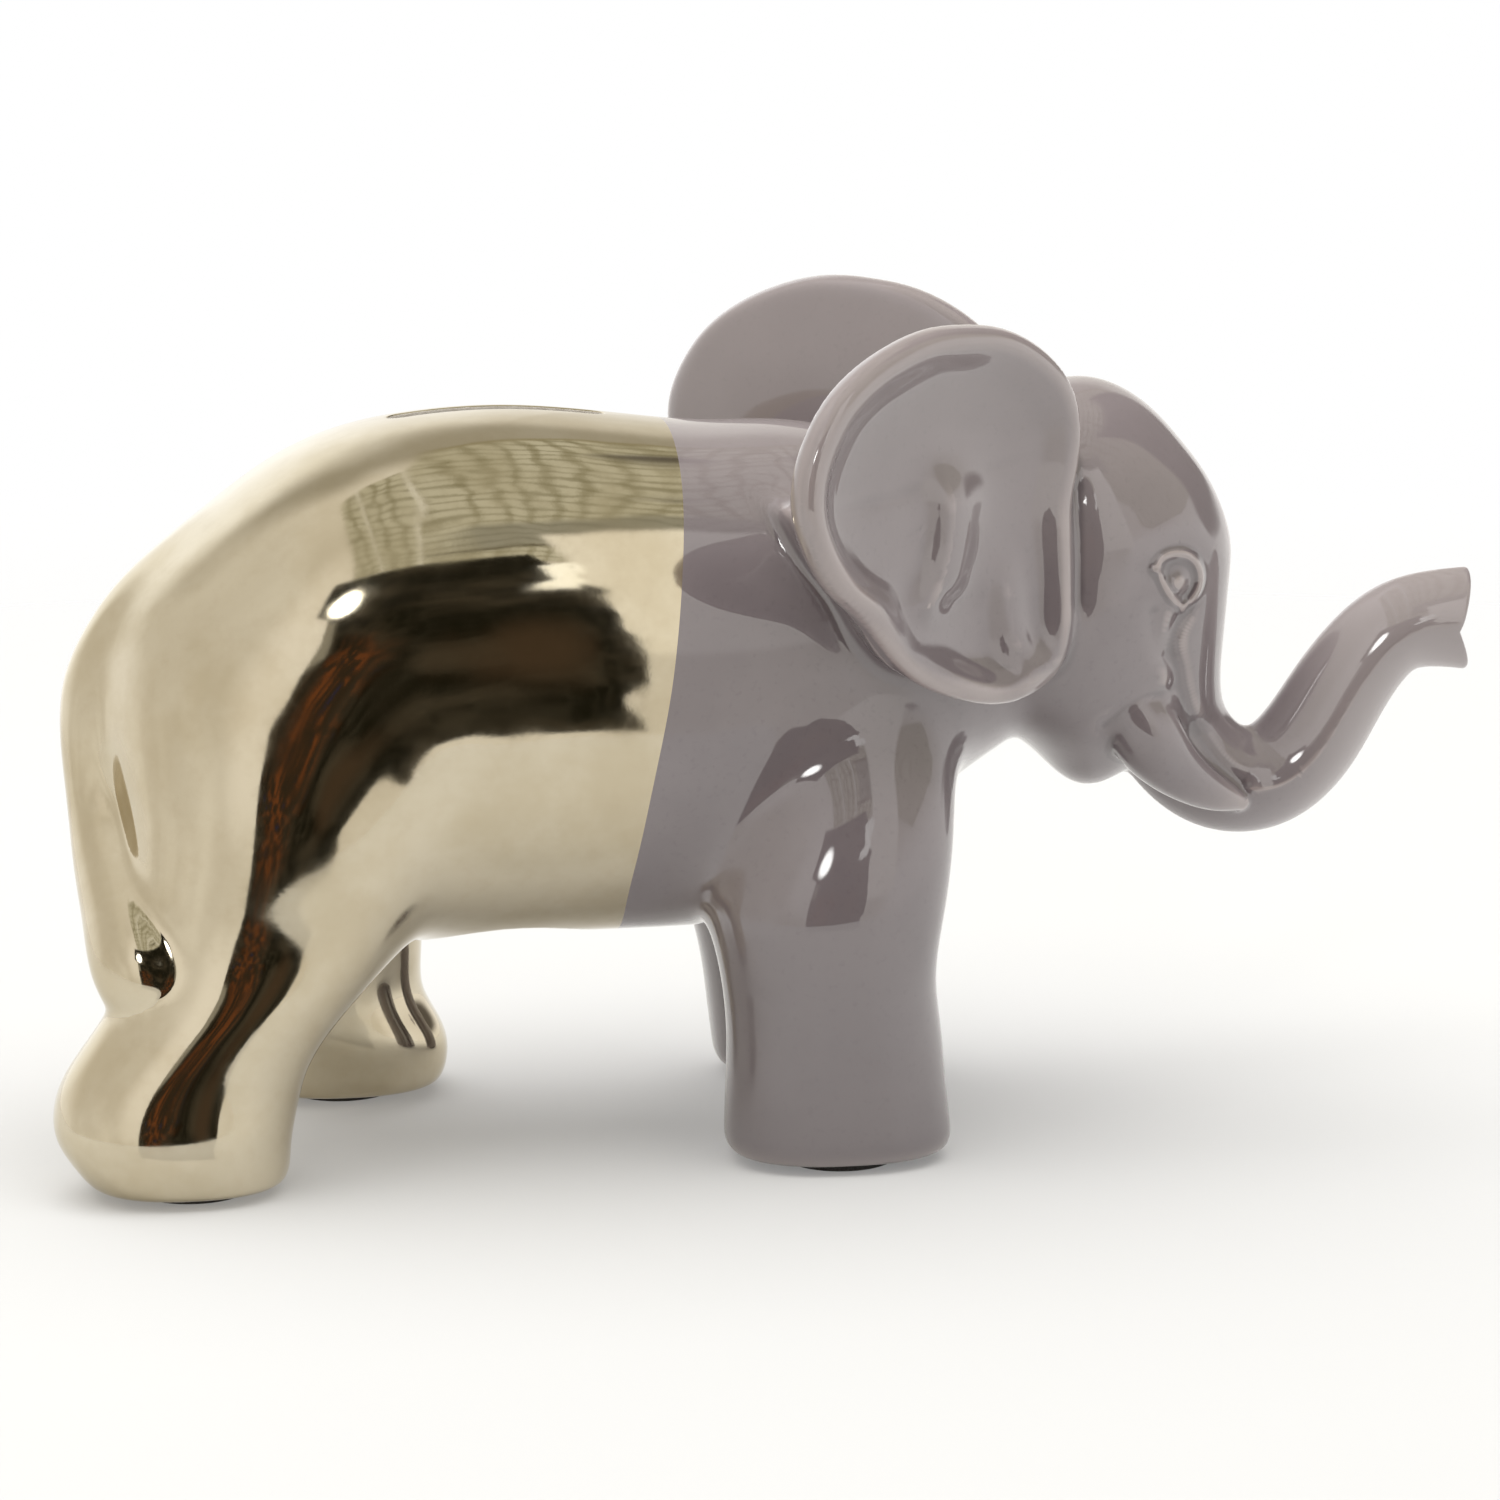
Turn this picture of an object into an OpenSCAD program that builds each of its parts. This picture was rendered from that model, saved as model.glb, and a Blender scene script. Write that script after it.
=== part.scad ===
// Elephant coin bank: a hollow cast-ceramic figure, plated at the back and glazed at the front,
// with a coin slot in its back and a soft stopper in its belly.
// Frame: +X towards the trunk, +Y to the animal's left, +Z up, origin on the table under the middle.

/* [Body] */
// Length of the barrel from rump to chest
body_length = 146; // [140:1:152]
// Height of the back above the table
back_height = 122.5; // [120:0.5:126]
// Height of the belly above the table
belly_height = 35.5; // [34:0.5:38]
// Width of the barrel at its widest
body_width = 76; // [72:1:82]
// Place of the rump's end, behind the origin
rump_x = -114.2; // [-118:0.2:-112]
// Thickness of the cast wall
wall = 4; // [3:0.5:5]

/* [Legs] */
// Distance of each foot's middle from the centre plane
foot_spread = 30; // [28:1:31]
// How far the left front foot stands ahead of the right one
front_stride = 9; // [6:1:12]
// Height at which the feet meet their pads
pad_height = 1.2; // [0.8:0.2:2]
// Radius of a foot pad
pad_r = 9; // [7:0.5:10]

/* [Head] */
// Width of the head
head_width = 50; // [46:1:54]
// Thickness of the trunk at its root
trunk_d = 22; // [20:0.5:24]
// Angle that the ears stand out from the head
ear_angle = 35; // [28:1:42]
// Thickness of an ear
ear_thickness = 5.5; // [4:0.5:7]

/* [Finish] */
// Where the plating ends on the back
finish_x = -17.5; // [-24:0.5:-12]
// Lean of the line where the plating ends
finish_lean = 6.7; // [0:0.1:10]

/* [Coin slot and stopper] */
// Length of the coin slot
slot_length = 36; // [32:1:40]
// Width of the coin slot
slot_width = 5; // [4.5:0.1:5.6]
// Middle of the slot and of the stopper, along the body
opening_x = -46.5; // [-50:0.5:-45]
// Radius of the stopper's hole
bore_r = 12.5; // [12:0.5:13]
// Depth of the flat recess around the stopper's hole
recess_depth = 5; // [4.5:0.5:6]
// Radial clearance of the stopper in its hole
stopper_clearance = 0.08; // [0.05:0.01:0.1]

/* [Hidden] */
RIGHT = -1;
LEFT = 1;
GOLD = "#c9b98c";
GLAZE = "#8f868b";
RUBBER = "#d9d6cf";
PAD = "#3a3735";
sides = 32;
body_height = back_height - belly_height;
recess_r = bore_r + 4;
recess_z = belly_height + recess_depth;

// Rows of the barrel: share of its length, share of its height at the top and at the bottom, share of its width.
barrel_rows = [
    [0.000, 0.46, 0.40, 0.08],
    [0.008, 0.56, 0.26, 0.38],
    [0.030, 0.67, 0.13, 0.62],
    [0.065, 0.745, 0.05, 0.79],
    [0.128, 0.82, -0.01, 0.93],
    [0.218, 0.917, -0.03, 0.99],
    [0.310, 0.979, -0.03, 1.00],
    [0.400, 1.000, -0.01, 0.99],
    [0.492, 0.999, 0.00, 0.97],
    [0.583, 0.987, 0.00, 0.95],
    [0.675, 0.971, 0.01, 0.93],
    [0.746, 0.954, 0.02, 0.91],
    [0.804, 0.952, 0.04, 0.89],
    [0.865, 0.925, 0.08, 0.86],
    [0.919, 0.875, 0.14, 0.80],
    [0.960, 0.79, 0.22, 0.68],
    [0.988, 0.69, 0.32, 0.46],
    [1.000, 0.57, 0.46, 0.12]
];

// Rows of a leg: height, middle along X, half length along X, half width along Y, shift of the middle towards the belly.
hind_right_rows = [
    [1.2, -101, 11.5, 11, 0],
    [2.4, -101.2, 14.5, 13, 0],
    [6, -102.5, 17.3, 14.5, 0],
    [11, -103.8, 19.0, 15, 0],
    [15, -103.2, 19.2, 15, 0],
    [22, -99.8, 18.6, 14.6, 0],
    [29, -94.5, 18.6, 14.6, 0.5],
    [37, -89.5, 20.5, 15.5, 2],
    [48, -86, 24, 16, 4],
    [62, -84, 26, 16.5, 6],
    [76, -83, 22, 13, 8]
];
hind_left_rows = [
    [1.2, -71, 11.5, 11, 0],
    [2.4, -70.8, 14.5, 13, 0],
    [7, -70.6, 18.2, 14.5, 0],
    [11, -71.5, 18.0, 14.6, 0],
    [18, -73.4, 16.7, 14.2, 0],
    [25, -73.8, 17.2, 14.4, 0.5],
    [35, -76, 20, 15.5, 2],
    [48, -80, 24, 16, 4],
    [62, -83, 26, 16.5, 6],
    [76, -83, 22, 13, 8]
];
front_rows = [
    [1.2, 5.8, 13.5, 11.5, 0],
    [2.4, 6, 16.3, 13.6, 0],
    [6, 6, 18.4, 15, 0],
    [14, 5.5, 18.3, 15, 0],
    [22, 4.8, 17.7, 14.7, 0],
    [30, 4.1, 17.9, 14.8, 0.5],
    [40, 4.2, 19.5, 15.5, 2],
    [52, 6.2, 20, 16, 4],
    [66, 9, 19.5, 15.5, 6],
    [80, 11, 15, 11, 9]
];

// Rows of the head: height, back and front along X, share of the head's width.
head_rows = [
    [55.2, 52.5, 60.5, 0.22],
    [56.5, 48.5, 65, 0.42],
    [61, 44, 74, 0.64],
    [67, 38.5, 78.5, 0.80],
    [74, 34, 78.2, 0.92],
    [82, 29.5, 79.2, 0.99],
    [90, 26.5, 80.3, 1.00],
    [98, 25, 79.8, 0.98],
    [106, 25, 77.8, 0.93],
    [114, 27, 71.8, 0.82],
    [120, 31, 65.6, 0.66],
    [124, 37, 60, 0.46],
    [126, 44, 55, 0.20]
];

// Rows of the trunk: X and Z of its middle, share of its thickness across and up.
trunk_rows = [
    [66, 76, 1.02, 0.98],
    [70, 66.5, 1.02, 1.00],
    [75.5, 58.3, 0.96, 0.93],
    [82.6, 55.3, 0.88, 0.86],
    [89.5, 57.0, 0.82, 0.83],
    [95.2, 62.3, 0.78, 0.80],
    [99.8, 69.0, 0.75, 0.77],
    [104.5, 76.2, 0.72, 0.74],
    [110.5, 81.5, 0.70, 0.76],
    [117, 82.9, 0.66, 0.78],
    [122.9, 82.6, 0.58, 0.75]
];

// Outline of an ear in its own plane: distance from the hinge line, height above the table.
ear_outline = [
    [0, 84], [0, 96], [0, 108], [-1, 119], [0, 127], [5, 132.5], [14, 136.8], [25, 139.2], [34, 138.6],
    [42.5, 135.7], [49.5, 131.8], [55.5, 126], [59.3, 119], [60, 111], [57, 101.5], [52.5, 93], [47.5, 86],
    [41, 81], [33, 77.8], [23.5, 75.6], [14, 76.3], [5, 78.5]
];
ear_hinge = [42, 25];
ear_middle = [29, 107];
ear_dish = 5;

// Rows of a tusk and of the tail: X, distance from the centre plane, Z, radius.
tusk_rows = [
    [59.5, 19.5, 72, 4.2],
    [64.5, 19.2, 65, 5.0],
    [70.5, 16.6, 59.4, 4.0],
    [76.5, 13.4, 55.6, 2.9],
    [80.8, 10.6, 53.6, 1.4]
];
tail_rows = [
    [-107, 0, 95, 2.2],
    [-112.5, 0, 84, 3.4],
    [-114.9, -1, 72, 4.1],
    [-114.7, -3.5, 60, 4.2],
    [-113.9, -7.5, 49, 4.6],
    [-112.4, -10.6, 40, 5.4],
    [-110.6, -12, 32.5, 5],
    [-109, -12.6, 27, 3]
];

// A curve through rows of numbers, with a given count of steps between two rows.
function blend(a, b, c, d, t) =
    0.5 * (2 * b + (c - a) * t + (2 * a - 5 * b + 4 * c - d) * t * t + (3 * b - a - 3 * c + d) * t * t * t);
function curve(rows, steps = 2) = [
    for (i = [0:len(rows) - 2], k = [0:steps - 1])
        blend(rows[max(i - 1, 0)], rows[i], rows[i + 1], rows[min(i + 2, len(rows) - 1)], k / steps),
    rows[len(rows) - 1]
];

// A skin over rings that all have the same count of points, closed by a fan at each end.
module loft(rings) {
    m = len(rings);
    n = len(rings[0]);
    middle = function (ring) [for (k = [0:2]) [for (p = ring) p[k]] * [for (p = ring) 1] / n];
    polyhedron(
        points = concat([for (ring = rings, p = ring) p], [middle(rings[0]), middle(rings[m - 1])]),
        faces = concat(
            [for (i = [0:m - 2], j = [0:n - 1]) [i * n + j, (i + 1) * n + j, i * n + (j + 1) % n]],
            [for (i = [0:m - 2], j = [0:n - 1])
                [i * n + (j + 1) % n, (i + 1) * n + j, (i + 1) * n + (j + 1) % n]],
            [for (j = [0:n - 1]) [m * n, j, (j + 1) % n]],
            [for (j = [0:n - 1]) [m * n + 1, (m - 1) * n + (j + 1) % n, (m - 1) * n + j]]
        )
    );
}

// A tube of changing radius through rows of X, Y, Z and radius.
module limb(rows, n = 14) {
    rings = [
        for (i = [0:len(rows) - 1])
            let (
                p = [rows[i][0], rows[i][1], rows[i][2]],
                ahead = rows[min(i + 1, len(rows) - 1)] - rows[max(i - 1, 0)],
                along = [ahead[0], ahead[1], ahead[2]] / norm([ahead[0], ahead[1], ahead[2]]),
                side = cross(along, [0, 1, 0]) / norm(cross(along, [0, 1, 0])),
                up = cross(along, side)
            )
            [for (a = [0:n - 1]) p + rows[i][3] * (cos(360 * a / n) * side + sin(360 * a / n) * up)]
    ];
    loft(rings);
}

// Makes its children into one continuous skin at their own size.
module one_skin() {
    resize([0, 0, 0]) union() children();
}

// The inside of a hollow form: the form drawn smaller about its own middle by the wall.
module inside(middle, size) {
    shrink = [for (s = size) (s - 2 * wall) / s];
    translate(middle) scale(shrink) translate(-middle) children();
}

module mirror_to(side) {
    if (side == RIGHT) mirror([0, 1, 0]) children();
    else children();
}

// ---- Whole forms, before hollowing and trimming ----

module barrel_form() {
    loft([
        for (r = curve(barrel_rows))
            let (
                x = rump_x + r[0] * body_length,
                top = belly_height + r[1] * body_height,
                bottom = belly_height + r[2] * body_height,
                half = r[3] * body_width / 2
            )
            [for (a = [0:sides - 1])
                [x, half * cos(360 * a / sides), (top + bottom) / 2 + (top - bottom) / 2 * sin(360 * a / sides)]]
    ]);
}

module barrel_inside() {
    middle = [rump_x + body_length / 2, 0, belly_height + body_height / 2];
    inside(middle, [body_length, body_width, body_height]) barrel_form();
}

module leg_form(rows, side, ahead = 0, n = 24) {
    loft([
        for (r = curve(rows))
            let (lead = ahead * max(0, 1 - r[0] / 60))
            [for (a = [0:n - 1])
                [r[1] + lead + r[2] * cos(360 * a / n), side * (foot_spread - r[4]) + r[3] * sin(360 * a / n), r[0]]]
    ]);
}

module leg_inside(rows, side, ahead = 0) {
    thin = [for (r = rows) [r[0] + wall, r[1], r[2] - wall, r[3] - wall, r[4]]];
    leg_form(thin, side, ahead);
}

module head_form() {
    loft([
        for (r = curve(head_rows))
            [for (a = [0:sides - 1])
                [
                    (r[1] + r[2]) / 2 + (r[2] - r[1]) / 2 * cos(360 * a / sides),
                    r[3] * head_width / 2 * sin(360 * a / sides),
                    r[0]
                ]]
    ]);
}

module head_inside() {
    inside([53, 0, 90.5], [55, head_width, 71]) head_form();
}

// The neck's hollow, which joins the head's hollow to the barrel's.
module neck_inside() {
    limb([[5, 0, 84, 13], [22, 0, 88, 14], [36, 0, 92, 14], [50, 0, 93, 12]], 24);
}

module neck_form() {
    limb([[8, 0, 82, 30], [20, 0, 86, 29], [32, 0, 90, 25], [44, 0, 92, 21]], sides);
}

module trunk_form(n = 20) {
    rows = curve(trunk_rows);
    loft([
        for (i = [0:len(rows) - 1])
            let (
                ahead = rows[min(i + 1, len(rows) - 1)] - rows[max(i - 1, 0)],
                along = [ahead[0], ahead[1]] / norm([ahead[0], ahead[1]])
            )
            [for (a = [0:n - 1])
                [
                    rows[i][0] - along[1] * rows[i][3] * trunk_d / 2 * cos(360 * a / n),
                    -rows[i][2] * trunk_d / 2 * sin(360 * a / n),
                    rows[i][1] + along[0] * rows[i][3] * trunk_d / 2 * cos(360 * a / n)
                ]]
    ]);
}

// An ear on the left side: rings shrink from the rim to the middle on the front face and back out behind.
module ear_form() {
    rim = curve(concat(ear_outline, [ear_outline[0]]));
    outline = [for (i = [0:len(rim) - 2]) rim[i]];
    place = function (p, depth)
        [
            ear_hinge[0] - p[0] * cos(ear_angle) + depth * sin(ear_angle),
            ear_hinge[1] + p[0] * sin(ear_angle) + depth * cos(ear_angle),
            p[1]
        ];
    // Share of the way out from the ear's middle, and depth of the face there.
    layers = [
        [0.12, ear_thickness / 2 - ear_dish],
        [0.55, ear_thickness / 2 - ear_dish * 0.8],
        [0.80, ear_thickness / 2 - ear_dish * 0.15],
        [0.93, ear_thickness / 2],
        [1.00, 0],
        [0.93, -ear_thickness / 2],
        [0.75, -ear_thickness / 2 - ear_dish * 0.3],
        [0.45, -ear_thickness / 2 - ear_dish * 0.8],
        [0.12, -ear_thickness / 2 - ear_dish]
    ];
    loft([
        for (l = layers)
            [for (p = outline) place(ear_middle + l[0] * (p - ear_middle), l[1])]
    ]);
}

module eye_form() {
    translate([65.8, 20.6, 93.4]) rotate([0, 0, -62]) scale([0.5, 1, 0.85]) sphere(r = 4.6, $fn = 20);
}

// Everything behind the line where the plating ends.
module plated_zone() {
    translate([finish_x, 0, back_height])
        rotate([0, finish_lean, 0])
            translate([-200, -100, -200]) cube([200, 200, 300]);
}

// ---- Sub-parts ----

module rear_body() {
    color(GOLD) difference() {
        one_skin() difference() {
            intersection() {
                barrel_form();
                plated_zone();
            }
            difference() {
                barrel_inside();
                translate([opening_x, 0, 0]) cylinder(r = recess_r + wall, h = recess_z + wall, $fn = 48);
            }
            leg_inside(hind_right_rows, RIGHT);
            leg_inside(hind_left_rows, LEFT);
            translate([opening_x, 0, back_height - 10]) linear_extrude(20)
                offset(r = slot_width / 2 - 0.01, $fn = 24) square([slot_length - slot_width, 0.02], center = true);
        }
        translate([opening_x, 0, recess_z - 20]) cylinder(r = recess_r, h = 20, $fn = 96);
        translate([opening_x, 0, recess_z - 1]) cylinder(r = bore_r, h = wall + 2, $fn = 96);
    }
}

module front_body() {
    color(GLAZE) one_skin() difference() {
        union() {
            difference() {
                barrel_form();
                plated_zone();
            }
            difference() {
                neck_form();
                plated_zone();
                head_form();
            }
        }
        barrel_inside();
        neck_inside();
        leg_inside(front_rows, RIGHT);
        leg_inside(front_rows, LEFT, front_stride);
    }
}

module leg(rows, side, ahead = 0) {
    one_skin() difference() {
        leg_form(rows, side, ahead);
        barrel_form();
        leg_inside(rows, side, ahead);
    }
}

module hind_leg_right() { color(GOLD) leg(hind_right_rows, RIGHT); }
module hind_leg_left() { color(GOLD) leg(hind_left_rows, LEFT); }
module front_leg_right() { color(GLAZE) leg(front_rows, RIGHT); }
module front_leg_left() { color(GLAZE) leg(front_rows, LEFT, front_stride); }

module head() {
    color(GLAZE) one_skin() difference() {
        head_form();
        head_inside();
        neck_inside();
        barrel_form();
    }
}

module trunk() {
    color(GLAZE) one_skin() difference() {
        trunk_form();
        head_form();
        translate([trunk_rows[10][0] + 1.6, 0, trunk_rows[10][1] - 2.4])
            rotate([90, 0, 0]) cylinder(r = 5, h = 40, center = true, $fn = 3);
    }
}

module ear(side) {
    color(GLAZE) one_skin() difference() {
        mirror_to(side) ear_form();
        head_form();
        neck_form();
        barrel_form();
    }
}

module tusk(side) {
    color(GLAZE) one_skin() difference() {
        mirror_to(side) limb(curve(tusk_rows));
        head_form();
        trunk_form();
    }
}

module eye(side) {
    color(GLAZE) one_skin() difference() {
        mirror_to(side) eye_form();
        head_form();
    }
}

module tail() {
    color(GOLD) one_skin() difference() {
        limb(curve(tail_rows), 16);
        barrel_form();
        leg_form(hind_right_rows, RIGHT);
        leg_form(hind_left_rows, LEFT);
    }
}

// A bung with a flange, a tapered nose and a bar to pull it by.
module stopper() {
    plug_r = bore_r - stopper_clearance;
    flange_r = recess_r - 1;
    flange = 2.5;
    nose = wall + 4.5;
    skin = 2.2;
    color(RUBBER) translate([opening_x, 0, recess_z]) {
        rotate_extrude($fn = 96) polygon([
            [0, nose], [plug_r - 2, nose], [plug_r - 1, nose - 1.2], [plug_r, wall + 1.5], [plug_r, 0],
            [flange_r - 0.8, 0], [flange_r, -0.8], [flange_r, -flange + 0.8], [flange_r - 0.8, -flange],
            [plug_r - skin, -flange], [plug_r - skin - 0.8, nose - skin], [0, nose - skin]
        ]);
        translate([-plug_r + skin, -1.5, -flange]) cube([2 * (plug_r - skin), 3, nose + flange - skin]);
    }
}

module foot_pad(row, side, ahead = 0) {
    color(PAD) translate([row[1] + ahead, side * foot_spread, 0]) cylinder(r = pad_r, h = pad_height, $fn = 64);
}

rear_body();
front_body();
hind_leg_right();
hind_leg_left();
front_leg_right();
front_leg_left();
head();
trunk();
ear(RIGHT);  // ear_right
ear(LEFT);  // ear_left
tusk(RIGHT);  // tusk_right
tusk(LEFT);  // tusk_left
eye(RIGHT);  // eye_right
eye(LEFT);  // eye_left
tail();
stopper();
foot_pad(hind_right_rows[0], RIGHT);  // foot_pad_hind_right
foot_pad(hind_left_rows[0], LEFT);  // foot_pad_hind_left
foot_pad(front_rows[0], RIGHT);  // foot_pad_front_right
foot_pad(front_rows[0], LEFT, front_stride);  // foot_pad_front_left
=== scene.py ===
"""Elephant coin bank with a plated back half and a glazed front half.

The animal's skin is one smooth form, given as a function of space. It is cut along the finish line, and then
into one closed mesh for each ceramic piece. The stopper and the foot pads are the CAD's own solids.
"""

import itertools
import math
from concurrent.futures import ThreadPoolExecutor

import bpy
import numpy as np
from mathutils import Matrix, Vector


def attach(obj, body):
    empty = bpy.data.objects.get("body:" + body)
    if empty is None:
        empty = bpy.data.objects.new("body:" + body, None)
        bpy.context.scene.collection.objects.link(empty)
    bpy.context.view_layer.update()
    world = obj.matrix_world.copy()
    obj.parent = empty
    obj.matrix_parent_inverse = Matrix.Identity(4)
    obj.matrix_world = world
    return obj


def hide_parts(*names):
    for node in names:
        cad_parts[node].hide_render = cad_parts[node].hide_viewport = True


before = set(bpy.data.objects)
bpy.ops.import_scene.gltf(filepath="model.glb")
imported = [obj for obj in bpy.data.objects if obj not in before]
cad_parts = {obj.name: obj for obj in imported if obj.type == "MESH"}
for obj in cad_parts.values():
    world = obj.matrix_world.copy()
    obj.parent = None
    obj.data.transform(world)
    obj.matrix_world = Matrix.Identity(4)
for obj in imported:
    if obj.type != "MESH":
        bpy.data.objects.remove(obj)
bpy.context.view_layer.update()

STEP = 0.9  # grid spacing of the skin, mm


# ---------------------------------------------------------------- curves and blends


class Curve:
    """A natural cubic curve through given rows: first column is the position along it."""

    def __init__(self, rows):
        rows = np.array(rows, float)
        self.t, self.v = rows[:, 0], rows[:, 1:]
        n = len(self.t)
        step = np.diff(self.t)
        a = np.zeros((n, n))
        b = np.zeros((n, self.v.shape[1]))
        a[0, 0] = a[-1, -1] = 1
        for i in range(1, n - 1):
            a[i, i - 1], a[i, i], a[i, i + 1] = step[i - 1], 2 * (step[i - 1] + step[i]), step[i]
            b[i] = 6 * ((self.v[i + 1] - self.v[i]) / step[i] - (self.v[i] - self.v[i - 1]) / step[i - 1])
        self.m = np.linalg.solve(a, b)

    def __call__(self, t):
        t = np.asarray(t, float)
        i = np.clip(np.searchsorted(self.t, t) - 1, 0, len(self.t) - 2)
        h = self.t[i + 1] - self.t[i]
        tc = np.clip(t, self.t[0], self.t[-1])
        a, b = (self.t[i + 1] - tc) / h, (tc - self.t[i]) / h
        s = h * h / 6
        out = []
        for c in range(self.v.shape[1]):
            v, m = self.v[:, c], self.m[:, c]
            out.append(a * v[i] + b * v[i + 1] + ((a**3 - a) * m[i] + (b**3 - b) * m[i + 1]) * s)
        return out


def join(a, b, k):
    """Smooth union."""
    h = np.maximum(k - np.abs(a - b), 0) / k
    return np.minimum(a, b) - h * h * h * (k / 6)


def meet(a, b, k):
    """Smooth intersection."""
    return -join(-a, -b, k)


def cut(a, b, k):
    """Smooth difference, a without b."""
    return meet(a, -b, k)


class Limb:
    """A swept limb: rows are x, y, z, radius in its plane, radius across."""

    def __init__(self, rows, count=24, fine=600):
        rows = np.array(rows, float)
        along = np.r_[0, np.cumsum(np.linalg.norm(np.diff(rows[:, :3], axis=0), axis=1))]
        curve = Curve(np.c_[along, rows])
        self.length = along[-1]
        self.t = np.linspace(0, self.length, count)
        self.samples = np.array(curve(self.t)).T
        self.step = self.length / fine
        row = np.array(curve(np.arange(fine + 1) * self.step)).T
        rate = np.gradient(row[:, :3], self.step, axis=0)
        self.fine = np.c_[row, rate, np.gradient(rate, self.step, axis=0)]

    def at(self, t):
        """At a distance along the limb: the row, the direction of travel and how that direction turns."""
        i = np.minimum((t / self.step).astype(int), len(self.fine) - 2)
        part = (t / self.step - i)[:, None]
        found = self.fine[i] * (1 - part) + self.fine[i + 1] * part
        return found[:, :5], found[:, 5:8], found[:, 8:]


FAR = 40.0  # what a shape answers for points too far away to touch it
BLEND_REACH = 17.0  # a limb's blends end nearer to it than this, mm
NEWTON_STEPS = 3


def in_box(low, high, x, y, z):
    return (x > low[0]) & (x < high[0]) & (y > low[1]) & (y < high[1]) & (z > low[2]) & (z < high[2])


def close_by(low, high, shape, x, y, z, beyond=FAR):
    """A shape's value inside a box, and a fixed one beyond it."""
    near = in_box(low, high, x, y, z)
    out = np.full(x.shape, beyond)
    if near.any():
        out[near] = shape(x[near], y[near], z[near])
    return out


def tube(x, y, z, limb, power=2.0):
    """Signed distance, nearly, to a limb with round ends."""
    s = limb.samples
    reach = s[:, 3:].max() + BLEND_REACH
    low, high = s[:, :3].min(0) - reach, s[:, :3].max(0) + reach
    return close_by(low, high, lambda a, b, c: tube_near(a, b, c, limb, power), x, y, z)


def tube_near(x, y, z, limb, power):
    """The same without the box: starts at the nearest sample and improves it by Newton's method."""
    where = np.stack([x, y, z], 1)
    places = limb.samples[:, :3]
    at = limb.t[((places * places).sum(1) - 2 * where @ places.T).argmin(1)]
    for _ in range(NEWTON_STEPS):
        row, rate, turn = limb.at(at)
        off = where - row[:, :3]
        step = (off * rate).sum(1) / np.maximum((rate * rate).sum(1) - (off * turn).sum(1), 0.25)
        at = np.clip(at + step, 0, limb.length)
    row, _, _ = limb.at(at)
    r_in, r_across = row[:, 3], row[:, 4]
    in_plane, across = np.hypot(x - row[:, 0], z - row[:, 2]) / r_in, np.abs(y - row[:, 1]) / r_across
    q = (in_plane**power + across**power) ** (1 / power)
    return (q - 1) * np.minimum(r_in, r_across)


def smooth_line(points, count=48):
    """Points along a smooth curve through the given ones."""
    points = np.array(points, float)
    along = np.r_[0, np.cumsum(np.hypot(*np.diff(points, axis=0).T))]
    return np.array(Curve(np.c_[along, points])(np.linspace(0, along[-1], count))).T.tolist()


def near_line(u, v, points):
    """Distance in a plane from (u, v) to a line through points."""
    p = np.array(points, float)
    nearest = ((p * p).sum(1) - 2 * np.stack([u, v], 1) @ p.T).argmin(1)
    best = np.full(u.shape, 1e9)
    for back in (1, 0):
        k = np.clip(nearest - back, 0, len(p) - 2)
        au, av = p[k].T
        du, dv = (p[k + 1] - p[k]).T
        t = np.clip(((u - au) * du + (v - av) * dv) / (du * du + dv * dv), 0, 1)
        np.minimum(best, np.hypot(u - au - du * t, v - av - dv * t), out=best)
    return best


def bump(distance, width):
    return np.exp(-((distance / width) ** 2))


# ---------------------------------------------------------------- the animal, in mm

BARREL = Curve([
    # x, top, bottom, half width
    [-125, 107, 42, 35],
    [-105.7, 109.8, 38, 36.2],
    [-95.6, 112.4, 35.5, 37.2],
    [-82.4, 117.2, 34, 38],
    [-62, 121.9, 34.2, 38],
    [-45, 122.9, 34.6, 37.7],
    [-29, 121.6, 34.8, 36.8],
    [-12, 119.6, 35, 34.5],
    [4, 118.4, 37, 31.4],
    [20, 117, 41, 28.6],
    [40, 115, 46, 29],
])
REAR_START, REAR_CAP = -62.0, 53.2
CHEST_START, CHEST_CAP = -4.0, 34.0

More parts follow.
